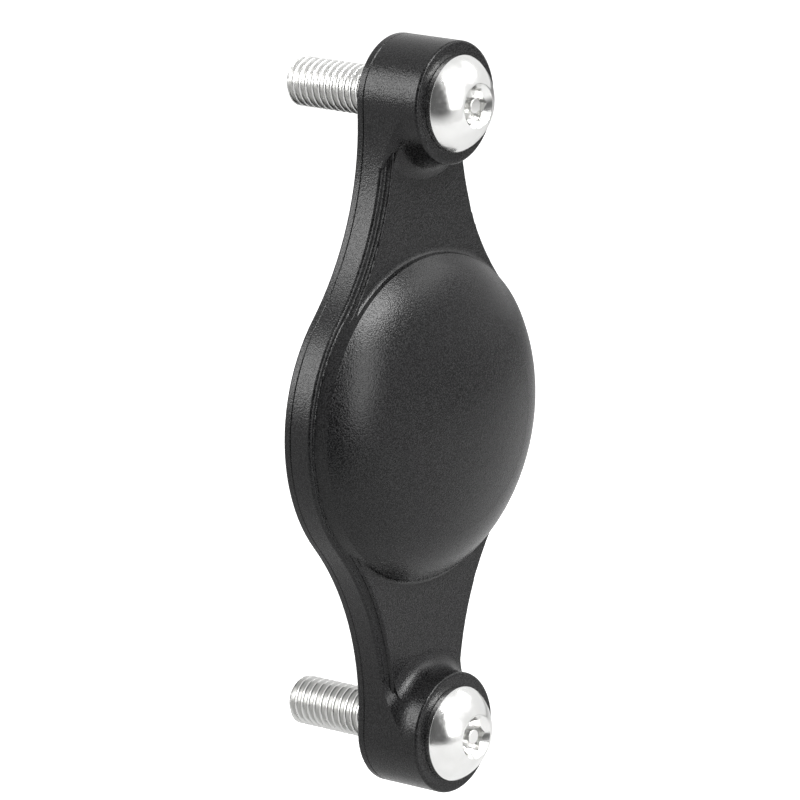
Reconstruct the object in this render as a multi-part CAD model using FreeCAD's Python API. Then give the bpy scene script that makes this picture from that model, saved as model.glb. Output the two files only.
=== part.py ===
import FreeCAD, Part
import math
import os

# Tracker mount for the two bottle-cage bosses of a bicycle frame.
# The rear mounting face lies at y = 0 and the dome faces -Y. The screws stand one above the other along Z.
# A depth is a distance forward of the rear mounting face, and every size is in millimetres.

# Screws
bolt_spacing = 64.0
thread_d = 5.0
thread_pitch = 0.8
thread_depth = 0.46
thread_flat = 0.16
grip_d = 4.5
screw_length = 20.0
tip_chamfer = 0.6
head_d = 9.6
head_h = 2.8
head_rim_h = 0.6
head_top_d = 4.6
socket_mouth_d = 4.4
socket_flats = 3.2
socket_depth = 1.9
pin_d = 1.5
pin_drop = 0.35
screw_clearance = 0.2

# Tracker that the pocket takes
tracker_d = 31.9
tracker_t = 8.0
tracker_side_gap = 0.05
tracker_head_gap = 0.1

# Rear cover
cover_t = 0.9
rear_edge_r = 0.3
parting_bevel = 0.08
spigot_h = 0.8
spigot_t = 0.8
spigot_gap = 0.15
spigot_lead = 0.2

# Seal ring
seal_d = 0.6
seal_gap = 0.04

# Housing body
wall_t = 0.9
rim_t = 1.4
pocket_wall_h = 2.2
side_h = 3.4
side_edge_r = 0.35
waist_r = 27.0
panel_rise = 0.7
panel_ledge_w = 0.02
panel_edge_r = 0.25
panel_cove_r = 0.35

# Dome
dome_margin = 0.4
dome_cove_r = 0.67
dome_edge_slope = 47.0
shoulder_r = 12.2
skirt_w = 0.45
skirt_cove_r = 0.25

# Screw bosses
boss_d = 12.3
boss_h = 7.62
boss_edge_r = 0.3
flare_r = 2.0
flare_stagger = 0.1
blend_sink = 0.01

# Sizes that follow from the ones above
half_span = bolt_spacing / 2
thread_r = thread_d / 2
boss_r = boss_d / 2
hole_r = thread_r + screw_clearance
pocket_r = tracker_d / 2 + tracker_side_gap
body_r = pocket_r + rim_t
dome_r = pocket_r + dome_margin
dome_h = cover_t + tracker_t + tracker_head_gap + wall_t
panel_h = side_h + panel_rise
panel_inset = side_edge_r + panel_ledge_w + panel_cove_r
dome_edge_h = panel_h + dome_cove_r
side_flare_r = flare_r + panel_rise - flare_stagger
channel_r = pocket_r + seal_d + seal_gap
channel_floor = cover_t + seal_d + seal_gap
spigot_r = pocket_r - spigot_gap
core_depth = (cover_t + side_h) / 2
cut_over = 1.0
on_wire = 1e-4
rearward = FreeCAD.Vector(0, 1, 0)
upward = FreeCAD.Vector(0, 0, 1)
z_to_y = FreeCAD.Rotation(FreeCAD.Vector(1, 1, 1), -120)


def at(x, depth, z):
    """Point at a depth forward of the rear mounting face."""
    return FreeCAD.Vector(x, -depth, z)


def line(a, b):
    return Part.LineSegment(a, b).toShape()


def polyline(points):
    return [line(a, b) for a, b in zip(points, points[1:])]


def arc(a, middle, b):
    return Part.Arc(a, middle, b).toShape()


def arc_about(centre, start, end, z):
    """Short arc from start to end, given as (radius, depth) pairs round a centre pair."""
    size = math.dist(centre, start)
    reach = [(start[i] + end[i]) / 2 - centre[i] for i in range(2)]
    share = size / math.hypot(*reach)
    middle = [centre[i] + reach[i] * share for i in range(2)]
    return arc(at(*start, z), at(*middle, z), at(*end, z))


def turned(edges, z):
    """Solid of revolution about the line along Y at height z."""
    return Part.Face(Part.Wire(edges)).revolve(at(0, 0, z), rearward, 360)


def outline(inset, depth):
    """Outline of the mount at one depth, drawn in by inset: middle disc, hollow waists and round ends."""
    disc_reach = body_r + waist_r
    end_reach = boss_r + waist_r
    waist_z = (disc_reach**2 - end_reach**2 + half_span**2) / (2 * half_span)
    waist_x = math.sqrt(disc_reach**2 - waist_z**2)
    disc_share = (body_r - inset) / disc_reach
    end_share = (boss_r - inset) / end_reach
    from_disc = math.atan2(-waist_z, -waist_x)
    from_end = math.atan2(waist_z - half_span, waist_x) - math.pi
    halfway = (from_disc + from_end) / 2
    waist_size = waist_r + inset

    def disc_point(side, up):
        return at(side * waist_x * disc_share, depth, up * waist_z * disc_share)

    def end_point(side, up):
        return at(side * waist_x * end_share, depth, up * (half_span + (waist_z - half_span) * end_share))

    def waist_point(side, up):
        x = waist_x + waist_size * math.cos(halfway)
        z = waist_z + waist_size * math.sin(halfway)
        return at(side * x, depth, up * z)

    def middle_arc(side):
        return arc(disc_point(side, -side), at(side * (body_r - inset), depth, 0), disc_point(side, side))

    def waist_arc(side, up):
        return arc(disc_point(side, up), waist_point(side, up), end_point(side, up))

    def end_arc(up):
        return arc(end_point(up, up), at(0, depth, up * (half_span + boss_r - inset)), end_point(-up, up))

    edges = [
        middle_arc(1),
        waist_arc(1, 1),
        end_arc(1),
        waist_arc(-1, 1),
        middle_arc(-1),
        waist_arc(-1, -1),
        end_arc(-1),
        waist_arc(1, -1),
    ]
    return Part.Wire(Part.__sortEdges__(edges))


def slab(inset, back, front):
    """Plate of the mount's outline between two depths."""
    return Part.Face(outline(inset, back)).extrude(rearward * (back - front))


def edges_on(shape, wire):
    """Edges of a shape whose middles lie on a wire."""

    def middle(edge):
        return Part.Vertex(edge.valueAt((edge.FirstParameter + edge.LastParameter) / 2))

    return [edge for edge in shape.Edges if wire.distToShape(middle(edge))[0] < on_wire]


def dome_arcs():
    """Crown radius, depth of the crown's centre, shoulder centre and turn at which both arcs meet."""
    slope = math.radians(dome_edge_slope)
    shoulder = (dome_r - shoulder_r * math.sin(slope), dome_edge_h - shoulder_r * math.cos(slope))
    drop = dome_h - shoulder[1]
    crown_r = (shoulder_r**2 - shoulder[0] ** 2 - drop**2) / (2 * (shoulder_r - drop))
    crown_depth = dome_h - crown_r
    turn = math.atan2(shoulder[0], shoulder[1] - crown_depth)
    return crown_r, crown_depth, shoulder, turn


def dome_over(offset, foot_r, foot_edges, back):
    """Dome moved in by offset: a ball's cap within a turned shoulder, with the foot's edges below it."""
    crown_r, crown_depth, shoulder, turn = dome_arcs()
    cap_r = crown_r - offset
    meeting = (cap_r * math.sin(turn), crown_depth + cap_r * math.cos(turn))
    foot_rise = math.sqrt((shoulder_r - offset) ** 2 - (foot_r - shoulder[0]) ** 2)
    foot = (foot_r, shoulder[1] + foot_rise)
    edges = [arc_about(shoulder, meeting, foot, 0)]
    edges += foot_edges(foot, meeting[0])
    edges.append(line(at(meeting[0], back, 0), at(*meeting, 0)))
    ball = Part.makeSphere(cap_r, at(0, crown_depth, 0), upward)
    stem = Part.makeCylinder(meeting[0], dome_h + cut_over - back, at(0, dome_h + cut_over, 0), rearward)
    return turned(edges, 0).fuse(ball.common(stem))


def dome():
    """Solid dome on a skirt that slopes out to the shelf with a hollow foot."""
    floor = side_h - blend_sink
    corner_r = dome_r + skirt_w
    slope = math.atan2(dome_edge_h - floor, skirt_w)
    reach = skirt_cove_r * math.tan(slope / 2)
    cove_top = (corner_r - reach * math.cos(slope), floor + reach * math.sin(slope))
    cove_foot = (corner_r + reach, floor)
    centre = (corner_r + reach, floor + skirt_cove_r)

    def skirt(foot, inner_r):
        edges = [line(at(*foot, 0), at(*cove_top, 0)), arc_about(centre, cove_top, cove_foot, 0)]
        back_path = [at(*cove_foot, 0), at(cove_foot[0], core_depth, 0), at(inner_r, core_depth, 0)]
        return edges + polyline(back_path)

    return dome_over(0.0, dome_r, skirt, core_depth)


def pocket():
    """Room for the tracker, with the seal's channel at its mouth."""
    mouth = cover_t - cut_over

    def walls(foot, inner_r):
        return polyline(
            [
                at(*foot, 0),
                at(pocket_r, cover_t + pocket_wall_h, 0),
                at(pocket_r, channel_floor, 0),
                at(channel_r, channel_floor, 0),
                at(channel_r, mouth, 0),
                at(inner_r, mouth, 0),
            ]
        )

    return dome_over(wall_t, dome_r - wall_t, walls, mouth)


def boss(z):
    """Screw boss with a rounded front rim."""
    rim_depth = boss_h - boss_edge_r
    rim_r = boss_r - boss_edge_r
    corners = [(0, boss_h), (0, core_depth), (boss_r, core_depth), (boss_r, rim_depth)]
    edges = polyline([at(*corner, z) for corner in corners])
    edges.append(arc_about((rim_r, rim_depth), (boss_r, rim_depth), (rim_r, boss_h), z))
    edges.append(line(at(rim_r, boss_h, z), at(0, boss_h, z)))
    return turned(edges, z)


def flare(z, wall_r, size, floor, inset):
    """Hollow blend from a floor up to an upright round wall, kept within the outline."""
    foot_depth = floor - blend_sink
    centre = (wall_r + size, foot_depth + size)
    top = (wall_r, foot_depth + size)
    foot = (wall_r + size, foot_depth)
    corners = [foot, (foot[0], core_depth), (0, core_depth), (0, top[1]), top]
    edges = [arc_about(centre, top, foot, z)]
    edges += polyline([at(*corner, z) for corner in corners])
    return turned(edges, z).common(slab(inset, core_depth, boss_h))


def screw_hole(z):
    return Part.makeCylinder(hole_r, boss_h + 2 * cut_over, at(0, boss_h + cut_over, z), rearward)


def front_housing():
    base = slab(0, cover_t, side_h)
    base = base.makeChamfer(parting_bevel, edges_on(base, outline(0, cover_t)))
    base = base.makeFillet(side_edge_r, edges_on(base, outline(0, side_h)))
    panel = slab(panel_inset, core_depth, panel_h)
    panel = panel.makeFillet(panel_edge_r, edges_on(panel, outline(panel_inset, panel_h)))
    body = base.fuse(panel)
    body = body.makeFillet(panel_cove_r, edges_on(body, outline(panel_inset, side_h)))
    panel_top = panel_inset + panel_edge_r
    body = body.fuse([dome(), flare(0, dome_r, dome_cove_r, panel_h, panel_top)])
    for z in (half_span, -half_span):
        side_flare = flare(z, boss_r, side_flare_r, side_h, 0)
        panel_flare = flare(z, boss_r, flare_r, panel_h, panel_top)
        body = body.fuse([boss(z), side_flare, panel_flare])
    body = body.cut(pocket())
    for z in (half_span, -half_span):
        body = body.cut(screw_hole(z))
    return body.removeSplitter()


def rear_cover():
    plate = slab(0, 0, cover_t)
    plate = plate.makeFillet(rear_edge_r, edges_on(plate, outline(0, 0)))
    plate = plate.makeChamfer(parting_bevel, edges_on(plate, outline(0, cover_t)))
    inner_r = spigot_r - spigot_t
    front = cover_t + spigot_h
    spigot = turned(
        polyline(
            [
                at(inner_r, cover_t / 2, 0),
                at(spigot_r, cover_t / 2, 0),
                at(spigot_r, front - spigot_lead, 0),
                at(spigot_r - spigot_lead, front, 0),
                at(inner_r, front, 0),
                at(inner_r, cover_t / 2, 0),
            ]
        ),
        0,
    )
    plate = plate.fuse(spigot)
    for z in (half_span, -half_span):
        plate = plate.cut(screw_hole(z))
    return plate.removeSplitter()


def seal_ring():
    middle_r = pocket_r + seal_d / 2 + seal_gap / 2
    return Part.makeTorus(middle_r, seal_d / 2, at(0, cover_t + (seal_d + seal_gap) / 2, 0), rearward)


def socket(z):
    """Six-sided socket with flats above and below."""
    floor = boss_h + head_h - socket_depth
    corner_reach = socket_flats / math.sqrt(3)
    corners = []
    for i in range(7):
        angle = i * math.pi / 3
        corners.append(at(corner_reach * math.cos(angle), floor, z + corner_reach * math.sin(angle)))
    return Part.Face(Part.makePolygon(corners)).extrude(rearward * -(socket_depth + cut_over))


def thread(z):
    """Right-hand thread from the rear face to the chamfered tip: a grooved rod cut to length."""
    tip = boss_h - screw_length
    start = thread_pitch / 2
    run = 2 * thread_pitch - tip
    flank = (thread_pitch / 2 - thread_flat) / thread_depth
    root_r = thread_r - thread_depth
    root_half = thread_flat / 2
    mouth_half = thread_pitch / 2 - thread_flat / 4
    mouth_r = root_r + (mouth_half - root_half) / flank
    corners = [(root_r, root_half), (mouth_r, mouth_half), (mouth_r, -mouth_half), (root_r, -root_half)]
    profile = Part.makePolygon([FreeCAD.Vector(r, 0, half) for r, half in corners + corners[:1]])
    helix = Part.makeHelix(thread_pitch, run, thread_r)
    groove = Part.Wire(helix.Edges).makePipeShell([profile], True, True)
    groove.Placement = FreeCAD.Placement(at(0, -start, z), z_to_y)
    rod = Part.makeCylinder(thread_r, run + 2 * thread_pitch + cut_over, at(0, cut_over, z), rearward)
    outside_r = thread_r + cut_over
    chamfer_foot = tip + tip_chamfer + cut_over
    tip_r = thread_r - tip_chamfer
    reach = [(0, 0), (0, tip), (tip_r, tip), (outside_r, chamfer_foot), (outside_r, 0), (0, 0)]
    return rod.cut(groove).common(turned(polyline([at(*corner, z) for corner in reach]), z))


def screw(z):
    """Button-head screw: plain grip inside the mount, thread behind it, pin in the socket."""
    top = boss_h + head_h
    grip_r = grip_d / 2
    head_r = head_d / 2
    top_r = head_top_d / 2
    rim_top = boss_h + head_rim_h
    rise = (top**2 + top_r**2 - rim_top**2 - head_r**2) / (2 * (top - rim_top))
    corners = [(0, top), (0, 0), (grip_r, 0), (grip_r, boss_h), (head_r, boss_h), (head_r, rim_top)]
    edges = polyline([at(*corner, z) for corner in corners])
    edges.append(arc_about((0.0, rise), (head_r, rim_top), (top_r, top), z))
    edges.append(line(at(top_r, top, z), at(0, top, z)))
    body = turned(edges, z)
    mouth_drop = (socket_mouth_d - socket_flats) / 2
    mouth = Part.makeCone(
        socket_flats / 2,
        socket_mouth_d / 2 + cut_over,
        mouth_drop + cut_over,
        at(0, top - mouth_drop, z),
        rearward * -1,
    )
    pin = Part.makeCylinder(pin_d / 2, socket_depth - pin_drop, at(0, top - socket_depth, z), rearward * -1)
    head = body.cut(socket(z)).cut(mouth).fuse(pin).removeSplitter()
    return head.fuse(thread(z))


os.makedirs("parts", exist_ok=True)
nodes = {
    "front_housing": front_housing(),
    "rear_cover": rear_cover(),
    "seal_ring": seal_ring(),
    "upper_screw": screw(half_span),
    "lower_screw": screw(-half_span),
}
for name, shape in nodes.items():
    solid_count = len(shape.Solids)
    print(name, "solids", solid_count, "volume", round(shape.Volume, 3), "valid", shape.isValid())
    shape.exportStep(f"parts/{name}.step")
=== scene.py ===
import math

import bpy
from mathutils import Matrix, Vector


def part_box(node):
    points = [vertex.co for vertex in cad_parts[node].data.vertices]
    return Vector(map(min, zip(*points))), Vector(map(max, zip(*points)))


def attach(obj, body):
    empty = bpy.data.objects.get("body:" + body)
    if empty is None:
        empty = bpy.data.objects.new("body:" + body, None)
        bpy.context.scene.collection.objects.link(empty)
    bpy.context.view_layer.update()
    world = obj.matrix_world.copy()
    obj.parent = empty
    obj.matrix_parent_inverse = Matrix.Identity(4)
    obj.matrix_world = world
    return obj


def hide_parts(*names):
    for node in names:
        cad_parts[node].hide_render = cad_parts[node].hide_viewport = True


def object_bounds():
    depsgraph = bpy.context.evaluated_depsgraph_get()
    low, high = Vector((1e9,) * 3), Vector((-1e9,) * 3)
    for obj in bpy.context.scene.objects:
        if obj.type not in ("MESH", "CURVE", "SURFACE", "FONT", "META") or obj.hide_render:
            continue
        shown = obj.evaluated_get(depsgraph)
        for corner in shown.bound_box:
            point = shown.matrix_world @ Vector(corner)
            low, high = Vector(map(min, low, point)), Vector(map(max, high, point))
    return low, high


# Looks of a bicycle tracker mount: grained black plastic, a rubber seal and two stainless steel screws.
# Every length is in metres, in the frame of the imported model: rear mounting face at y = 0, dome towards -Y.

MM = 0.001

# Camera, as the photograph was taken
VIEW_AZIMUTH = math.radians(-51.0)
VIEW_ELEVATION = math.radians(13.3)
VIEW_DISTANCE = 620 * MM
LENS = 280.0
SHIFT_X = 0.0058
SHIFT_Y = 0.0130
CLIP_START = 10 * MM

# Screw form, an M5 button head with a pinned six-sided socket
THREAD_PITCH = 0.8 * MM
THREAD_R = 2.5 * MM
THREAD_DEPTH = 0.46 * MM
THREAD_CREST = 0.10
THREAD_ROOT = 0.40
THREAD_FADE = 0.9 * MM
TIP_CHAMFER = 0.6 * MM
GRIP_R = 2.25 * MM
HEAD_H = 2.8 * MM
HEAD_RIM_H = 0.6 * MM
HEAD_TOP_R = 2.3 * MM
MOUTH_R = 2.2 * MM
SOCKET_FLATS = 3.2 * MM
SOCKET_DEPTH = 1.9 * MM
PIN_R = 0.75 * MM
PIN_DROP = 0.35 * MM
EDGE_ROUND = 0.08 * MM

# Fineness of the screw mesh
AROUND = 96
RINGS_PER_PITCH = 20
DOME_STEPS = 16
ROUND_STEPS = 4
SHARP_ANGLE = math.radians(40.0)

# Range of a noise texture that holds most of its values
NOISE_LOW = 0.3
NOISE_HIGH = 0.7

# Moulded plastic
PLASTIC_DARK = (0.002, 0.002, 0.0022)
PLASTIC_PALE = (0.016, 0.016, 0.0165)
PLASTIC_TONES = (0.38, 0.62)
PLASTIC_SPECULAR = 0.25
PLASTIC_ROUGHNESS = (0.16, 0.34)
FINE_GRAIN = 0.15 * MM
FINE_GRAIN_DEPTH = 0.024 * MM
COARSE_GRAIN = 0.30 * MM
COARSE_GRAIN_DEPTH = 0.010 * MM

# Rubber of the seal
RUBBER_DARK = (0.010, 0.010, 0.010)
RUBBER_PALE = (0.020, 0.020, 0.019)
RUBBER_CLOUD = 2 * MM
RUBBER_ROUGHNESS = (0.6, 0.8)
RUBBER_GRAIN = 0.15 * MM
RUBBER_GRAIN_DEPTH = 0.01 * MM

# Steel of the screws: polished head; the rolled thread is rougher, and its steel is painted darker as painted
# shade between the thread's crests
STEEL_DARK = (0.75, 0.75, 0.74)
STEEL_PALE = (0.81, 0.81, 0.80)
STEEL_CLOUD = 1.5 * MM
STEEL_ROUGHNESS = (0.15, 0.24)
STEEL_SMEAR = 0.6 * MM
TURNING_WIDTH = 1.2 * MM
TURNING_DEPTH = 0.001 * MM
# painted shade: a darker steel colour for the thread, standing in for the shade between its crests
THREAD_PAINTED_SHADE = (0.60, 0.60, 0.59)
ROLLED_ROUGHER = 0.12
ROLLED_AND_SHADED_FADE = 1.0 * MM

# Stage
FLOOR_DROP = 30 * MM
FLOOR_SIZE = 8.0
FLOOR_FRONT = 120 * MM
FLOOR_COLOUR = (0.72, 0.72, 0.72)
FLOOR_GLOW_SEEN = 0.9
FLOOR_GLOW_MIRRORED = 0.06
ROOM_LIGHT = 0.2
CAMERA_END_MIRRORED = 0.12
CAMERA_END_CORE = math.radians(26.0)
CAMERA_END_EDGE = math.radians(54.0)

# Softboxes: place to the right, up and towards the camera, then width and height, then power in watts
SOFTBOXES = {
    "front_top": ((0.34, 0.44, 0.41), (0.36, 0.22), 4.9),
    "front_right": ((0.36, 0.07, 0.53), (0.22, 0.46), 2.0),
    "back_top": ((0.48, 0.45, -0.02), (0.40, 0.20), 0.7),
    "left": ((-0.62, 0.25, 0.15), (0.22, 0.42), 3.0),
}

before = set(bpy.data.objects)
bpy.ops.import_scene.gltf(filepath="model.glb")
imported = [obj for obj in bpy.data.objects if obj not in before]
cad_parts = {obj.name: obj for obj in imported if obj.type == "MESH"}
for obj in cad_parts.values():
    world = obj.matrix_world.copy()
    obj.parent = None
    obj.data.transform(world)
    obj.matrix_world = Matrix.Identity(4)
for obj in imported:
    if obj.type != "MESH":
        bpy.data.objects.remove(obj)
cad_low, cad_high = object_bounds()


def fillet(before, corner, after, size):
    """Points of a round of the given size at a corner of a (radius, y) profile."""
    corner = Vector(corner)
    to_before = (Vector(before) - corner).normalized()
    to_after = (Vector(after) - corner).normalized()
    half = to_before.angle(to_after) / 2
    reach = size / math.tan(half)
    centre = corner + (to_before + to_after).normalized() * (size / math.sin(half))
    start = corner + to_before * reach - centre
    end = corner + to_after * reach - centre
    return [centre + size * start.slerp(end, i / ROUND_STEPS).normalized() for i in range(ROUND_STEPS + 1)]


def rounded(corners):
    """Profile through (radius, y, round) corners, with each corner's round worked in."""
    points = []
    for i, (radius, y, size) in enumerate(corners):
        if size:
            points += fillet(corners[i - 1][:2], (radius, y), corners[i + 1][:2], size)
        else:
            points.append(Vector((radius, y)))
    return points


def thread_drop(y, angle):
    """Depth of a right-hand thread below its crest, from 0 to 1."""
    turns = y / THREAD_PITCH - angle / math.tau
    from_crest = abs(turns - round(turns))
    share = (from_crest - THREAD_CREST) / (THREAD_ROOT - THREAD_CREST)
    share = min(max(share, 0.0), 1.0)
    return (share + share * share * (3 - 2 * share)) / 2


def socket_radius(angle):
    """Radius of the six-sided outline at an angle from the middle of a flat."""
    sixth = math.pi / 3
    off = (angle + sixth / 2) % sixth - sixth / 2
    return SOCKET_FLATS / 2 / math.cos(off)


def screw_rings(head_y, head_r, tip_y):
    """Rings of the screw from its tip to its pin's top, each with one (radius, y) pair for each angle."""
    angles = [math.tau * i / AROUND for i in range(AROUND)]
    seat_y = head_y + HEAD_H
    tip_r = THREAD_R - TIP_CHAMFER
    fade_end = -THREAD_FADE
    rings = [[(tip_r - EDGE_ROUND, tip_y)] * AROUND]
    count = round((tip_y - fade_end) / THREAD_PITCH * RINGS_PER_PITCH)
    for i in range(count + 1):
        y = tip_y - EDGE_ROUND / 2 + (fade_end - tip_y + EDGE_ROUND / 2) * i / count
        cone_r = tip_r + tip_y - y
        inside = min(max(y / fade_end, 0.0), 1.0)
        ring = []
        for angle in angles:
            cut_r = THREAD_R - THREAD_DEPTH * thread_drop(y, angle)
            ring.append((min(cut_r + (GRIP_R - cut_r) * inside, cone_r), y))
        rings.append(ring)

    rim_y = seat_y - HEAD_RIM_H
    rise = (head_y**2 + HEAD_TOP_R**2 - rim_y**2 - head_r**2) / (2 * (head_y - rim_y))
    dome_r = math.hypot(head_r, rim_y - rise)
    start = math.atan2(head_r, rise - rim_y)
    end = math.atan2(HEAD_TOP_R, rise - head_y)
    dome = []
    for i in range(1, DOME_STEPS):
        turn = start + (end - start) * i / DOME_STEPS
        dome.append((dome_r * math.sin(turn), rise - dome_r * math.cos(turn), 0))
    head = rounded(
        [
            (GRIP_R, fade_end, 0),
            (GRIP_R, seat_y, EDGE_ROUND),
            (head_r, seat_y, EDGE_ROUND),
            (head_r, rim_y, EDGE_ROUND),
            *dome,
            (HEAD_TOP_R, head_y, 0),
            (MOUTH_R, head_y, 0),
        ]
    )
    rings += [[(point.x, point.y)] * AROUND for point in head[1:]]

    floor_y = head_y + SOCKET_DEPTH
    sides = [socket_radius(angle) for angle in angles]
    for inset in (EDGE_ROUND / 2, 0.0):
        rings.append([(r + inset, head_y + MOUTH_R - r - inset) for r in sides])
    rings.append([(r, head_y + MOUTH_R - r + EDGE_ROUND / 2) for r in sides])
    rings.append([(r, floor_y - EDGE_ROUND) for r in sides])
    rings.append([(r - EDGE_ROUND, floor_y) for r in sides])

    pin_y = head_y + PIN_DROP
    pin = rounded(
        [
            (PIN_R + EDGE_ROUND, floor_y, 0),
            (PIN_R, floor_y - EDGE_ROUND, 0),
            (PIN_R, pin_y, EDGE_ROUND),
            (PIN_R / 2, pin_y, 0),
        ]
    )
    rings += [[(point.x, point.y)] * AROUND for point in pin]
    return rings


def skin(rings):
    """Closed mesh over rings of (radius, y) pairs, with a point at each end."""
    points = []
    for ring in rings:
        for i, (radius, y) in enumerate(ring):
            angle = math.tau * i / AROUND
            points.append((radius * math.sin(angle), y, radius * math.cos(angle)))
    first = len(points)
    points.append((0.0, rings[0][0][1], 0.0))
    last = len(points)
    points.append((0.0, rings[-1][0][1], 0.0))
    faces = []
    final = (len(rings) - 1) * AROUND
    for i in range(AROUND):
        j = (i + 1) % AROUND
        faces.append((first, j, i))
        faces.append((last, final + i, final + j))
        for row in range(0, final, AROUND):
            faces.append((row + i, row + j, row + AROUND + j, row + AROUND + i))
    mesh = bpy.data.meshes.new("screw")
    mesh.from_pydata(points, [], faces)
    mesh.validate()
    mesh.shade_smooth()
    mesh.set_sharp_from_angle(angle=SHARP_ANGLE)
    return mesh


def make_screw(node, material):
    """Screw with rounded edges in place of its CAD solid, from that solid's box."""
    low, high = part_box(node)
    axis_z = (low.z + high.z) / 2
    mesh = skin(screw_rings(low.y, (high.x - low.x) / 2, high.y))
    mesh.materials.append(material)
    piece = bpy.data.objects.new(node + "_threaded", mesh)
    piece.location = (0.0, 0.0, axis_z)
    bpy.context.scene.collection.objects.link(piece)
    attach(piece, node)
    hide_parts(node)


class Shader:
    """A material with its node tree, and short ways to add nodes to it."""

    def __init__(self, name):
        self.material = bpy.data.materials.new(name)
        self.material.use_nodes = True
        self.nodes = self.material.node_tree.nodes
        self.links = self.material.node_tree.links
        self.surface = self.nodes["Principled BSDF"]
        self.place = self.nodes.new("ShaderNodeTexCoord").outputs["Object"]

    def join(self, source, target):
        self.links.new(source, target)

    def noise(self, size, detail=2.0):
        """Noise with features of about the given size."""
        node = self.nodes.new("ShaderNodeTexNoise")
        node.inputs["Scale"].default_value = 1 / size
        node.inputs["Detail"].default_value = detail
        self.join(self.place, node.inputs["Vector"])
        return node.outputs["Fac"]

    def ramp(self, source, low, high, start=NOISE_LOW, end=NOISE_HIGH):
        """The source's range turned into the colours between two."""
        node = self.nodes.new("ShaderNodeValToRGB")
        first, last = node.color_ramp.elements
        first.position = start
        first.color = (*low, 1.0)
        last.position = end
        last.color = (*high, 1.0)
        self.join(source, node.inputs["Fac"])
        return node.outputs["Color"]

    def spread(self, source, low, high, start=NOISE_LOW, end=NOISE_HIGH):
        """The source's range spread between two values."""
        node = self.nodes.new("ShaderNodeMapRange")
        node.inputs["From Min"].default_value = start
        node.inputs["From Max"].default_value = end
        node.inputs["To Min"].default_value = low
        node.inputs["To Max"].default_value = high
        self.join(source, node.inputs["Value"])
        return node.outputs["Result"]

    def mix(self, share, first, second):
        """One colour turned into another by a share from 0 to 1."""
        node = self.nodes.new("ShaderNodeMixRGB")
        node.inputs["Color2"].default_value = (*second, 1.0)
        self.join(first, node.inputs["Color1"])
        self.join(share, node.inputs["Fac"])
        return node.outputs["Color"]

    def add(self, first, second):
        node = self.nodes.new("ShaderNodeMath")
        self.join(first, node.inputs[0])
        self.join(second, node.inputs[1])
        return node.outputs[0]

    def bump(self, height, depth, strength, under=None):
        """Normal of a relief of the given depth, over another one if there is one."""
        node = self.nodes.new("ShaderNodeBump")
        node.inputs["Distance"].default_value = depth
        node.inputs["Strength"].default_value = strength
        self.join(height, node.inputs["Height"])
        if under:
            self.join(under, node.inputs["Normal"])
        return node.outputs["Normal"]


def moulded_plastic():
    """Black plastic with the fine spark-eroded grain of its mould."""
    shader = Shader("moulded_plastic")
    fine = shader.noise(FINE_GRAIN, 1.0)
    coarse = shader.noise(COARSE_GRAIN, 1.0)
    colour = shader.ramp(fine, PLASTIC_DARK, PLASTIC_PALE, *PLASTIC_TONES)
    shader.join(colour, shader.surface.inputs["Base Color"])
    shader.surface.inputs["Specular IOR Level"].default_value = PLASTIC_SPECULAR
    shader.join(shader.spread(fine, *PLASTIC_ROUGHNESS), shader.surface.inputs["Roughness"])
    grain = shader.bump(coarse, COARSE_GRAIN_DEPTH, 1.0)
    grain = shader.bump(fine, FINE_GRAIN_DEPTH, 1.0, grain)
    shader.join(grain, shader.surface.inputs["Normal"])
    return shader.material


def soft_rubber():
    """Black rubber of the seal, duller than the plastic."""
    shader = Shader("soft_rubber")
    tone = shader.noise(RUBBER_CLOUD)
    colour = shader.ramp(tone, RUBBER_DARK, RUBBER_PALE)
    shader.join(colour, shader.surface.inputs["Base Color"])
    fine = shader.noise(RUBBER_GRAIN)
    shader.join(shader.spread(fine, *RUBBER_ROUGHNESS), shader.surface.inputs["Roughness"])
    shader.join(shader.bump(fine, RUBBER_GRAIN_DEPTH, 0.5), shader.surface.inputs["Normal"])
    return shader.material


def polished_steel():
    """Stainless steel with faint turning lines, rougher on the rolled thread behind the rear face, where its
    colour is also painted darker as painted shade of the thread's grooves.
    """
    shader = Shader("polished_steel")
    shader.surface.inputs["Metallic"].default_value = 1.0
    tone = shader.noise(STEEL_CLOUD)
    colour = shader.ramp(tone, STEEL_DARK, STEEL_PALE)
    along = shader.nodes.new("ShaderNodeSeparateXYZ")
    shader.join(shader.place, along.inputs["Vector"])
    rolled_and_shaded = shader.spread(along.outputs["Y"], 0.0, 1.0, 0.0, ROLLED_AND_SHADED_FADE)
    # painted shade: the thread behind the rear face is mixed towards a darker steel colour
    shader.join(shader.mix(rolled_and_shaded, colour, THREAD_PAINTED_SHADE), shader.surface.inputs["Base Color"])
    polish = shader.spread(shader.noise(STEEL_SMEAR), *STEEL_ROUGHNESS)
    rougher = shader.spread(rolled_and_shaded, 0.0, ROLLED_ROUGHER, 0.0, 1.0)
    shader.join(shader.add(polish, rougher), shader.surface.inputs["Roughness"])
    turning = shader.nodes.new("ShaderNodeTexWave")
    turning.wave_type = "RINGS"
    turning.rings_direction = "Y"
    turning.inputs["Scale"].default_value = 1 / TURNING_WIDTH
    turning.inputs["Distortion"].default_value = 2.0
    turning.inputs["Detail"].default_value = 2.0
    shader.join(shader.place, turning.inputs["Vector"])
    lines = shader.bump(turning.outputs["Fac"], TURNING_DEPTH, 0.3)
    shader.join(lines, shader.surface.inputs["Normal"])
    return shader.material


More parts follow.
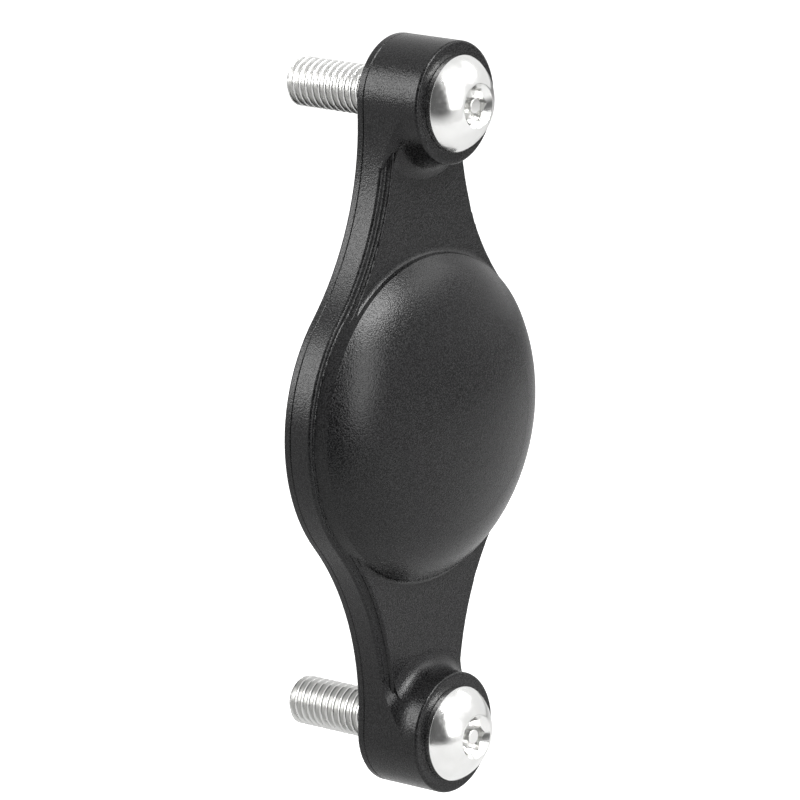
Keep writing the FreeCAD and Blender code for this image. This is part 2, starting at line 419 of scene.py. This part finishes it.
def ray_strength(nodes, links, seen, mirrored, lighting):
    """Strength for rays from the camera, for those from a mirror or glass and for those that carry light.

    The mirrored strength is a number or another node's output.
    """
    path = nodes.new("ShaderNodeLightPath")
    reflected = nodes.new("ShaderNodeMath")
    reflected.operation = "MAXIMUM"
    links.new(path.outputs["Is Glossy Ray"], reflected.inputs[0])
    links.new(path.outputs["Is Transmission Ray"], reflected.inputs[1])
    share = nodes.new("ShaderNodeMapRange")
    share.inputs["To Min"].default_value = lighting
    if isinstance(mirrored, bpy.types.NodeSocket):
        links.new(mirrored, share.inputs["To Max"])
    else:
        share.inputs["To Max"].default_value = mirrored
    links.new(reflected.outputs[0], share.inputs["Value"])
    whole = nodes.new("ShaderNodeMapRange")
    whole.inputs["To Max"].default_value = seen
    links.new(share.outputs["Result"], whole.inputs["To Min"])
    links.new(path.outputs["Is Camera Ray"], whole.inputs["Value"])
    return whole.outputs["Result"]


def pale_floor():
    """Matte floor that glows for the camera, and a little in mirrors."""
    material = bpy.data.materials.new("pale_floor")
    material.use_nodes = True
    nodes = material.node_tree.nodes
    links = material.node_tree.links
    matte = nodes["Principled BSDF"]
    matte.inputs["Base Color"].default_value = (*FLOOR_COLOUR, 1.0)
    matte.inputs["Roughness"].default_value = 0.9
    matte.inputs["Specular IOR Level"].default_value = 0.0
    matte.inputs["Emission Color"].default_value = (1.0, 1.0, 1.0, 1.0)
    glow = ray_strength(nodes, links, FLOOR_GLOW_SEEN, FLOOR_GLOW_MIRRORED, 0.0)
    links.new(glow, matte.inputs["Emission Strength"])
    return material


def dim_camera_end(nodes, links, camera):
    """Strength by direction: white, and darker round the place where the camera stands."""
    direction = nodes.new("ShaderNodeTexCoord").outputs["Generated"]
    towards = nodes.new("ShaderNodeVectorMath")
    towards.operation = "DOT_PRODUCT"
    towards.inputs[1].default_value = camera.location.normalized()
    links.new(direction, towards.inputs[0])
    fade = nodes.new("ShaderNodeMapRange")
    fade.interpolation_type = "SMOOTHSTEP"
    fade.inputs["From Min"].default_value = math.cos(CAMERA_END_EDGE)
    fade.inputs["From Max"].default_value = math.cos(CAMERA_END_CORE)
    fade.inputs["To Min"].default_value = 1.0
    fade.inputs["To Max"].default_value = CAMERA_END_MIRRORED
    links.new(towards.outputs["Value"], fade.inputs["Value"])
    return fade.outputs["Result"]


def make_world(camera):
    """White room that lights the object softly from all sides."""
    world = bpy.data.worlds.new("white_room")
    world.use_nodes = True
    nodes = world.node_tree.nodes
    links = world.node_tree.links
    background = nodes["Background"]
    background.inputs["Color"].default_value = (1.0, 1.0, 1.0, 1.0)
    mirrored = dim_camera_end(nodes, links, camera)
    links.new(ray_strength(nodes, links, 1.0, mirrored, ROOM_LIGHT), background.inputs["Strength"])
    bpy.context.scene.world = world


def make_floor():
    """Table top that ends a short way in front of the object, on the camera's side."""
    mesh = bpy.data.meshes.new("floor")
    half = FLOOR_SIZE / 2
    corners = [(-half, -FLOOR_FRONT, 0.0), (half, -FLOOR_FRONT, 0.0), (half, half, 0.0), (-half, half, 0.0)]
    mesh.from_pydata(corners, [], [(0, 1, 2, 3)])
    mesh.materials.append(pale_floor())
    floor = bpy.data.objects.new("floor", mesh)
    floor.location.z = cad_low.z - FLOOR_DROP
    floor.rotation_euler.z = VIEW_AZIMUTH
    bpy.context.scene.collection.objects.link(floor)


def make_camera():
    back = Vector(
        (
            math.sin(VIEW_AZIMUTH) * math.cos(VIEW_ELEVATION),
            -math.cos(VIEW_AZIMUTH) * math.cos(VIEW_ELEVATION),
            math.sin(VIEW_ELEVATION),
        )
    )
    data = bpy.data.cameras.new("camera")
    data.lens = LENS
    data.shift_x = SHIFT_X
    data.shift_y = SHIFT_Y
    data.clip_start = CLIP_START
    camera = bpy.data.objects.new("camera", data)
    camera.location = back * VIEW_DISTANCE
    camera.rotation_mode = "QUATERNION"
    camera.rotation_quaternion = (-back).to_track_quat("-Z", "Y")
    bpy.context.scene.collection.objects.link(camera)
    bpy.context.scene.camera = camera
    return camera


def softbox(name, camera, place, size, power):
    """Lamp of a width and height, at distances right, up and towards the camera from the object."""
    spot = camera.rotation_quaternion.to_matrix() @ Vector(place)
    data = bpy.data.lights.new(name, "AREA")
    data.shape = "RECTANGLE"
    data.size, data.size_y = size
    data.energy = power
    lamp = bpy.data.objects.new(name, data)
    lamp.location = spot
    lamp.rotation_mode = "QUATERNION"
    lamp.rotation_quaternion = (-spot).to_track_quat("-Z", "Y")
    lamp.visible_camera = False
    bpy.context.scene.collection.objects.link(lamp)


plastic = moulded_plastic()
rubber = soft_rubber()
steel = polished_steel()
for node, material in (("front_housing", plastic), ("rear_cover", plastic), ("seal_ring", rubber)):
    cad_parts[node].data.materials[0] = material
for node in ("upper_screw", "lower_screw"):
    make_screw(node, steel)

bpy.context.scene.view_settings.view_transform = "Standard"
make_floor()
camera = make_camera()
make_world(camera)
for name, (place, size, power) in SOFTBOXES.items():
    softbox(name, camera, place, size, power)
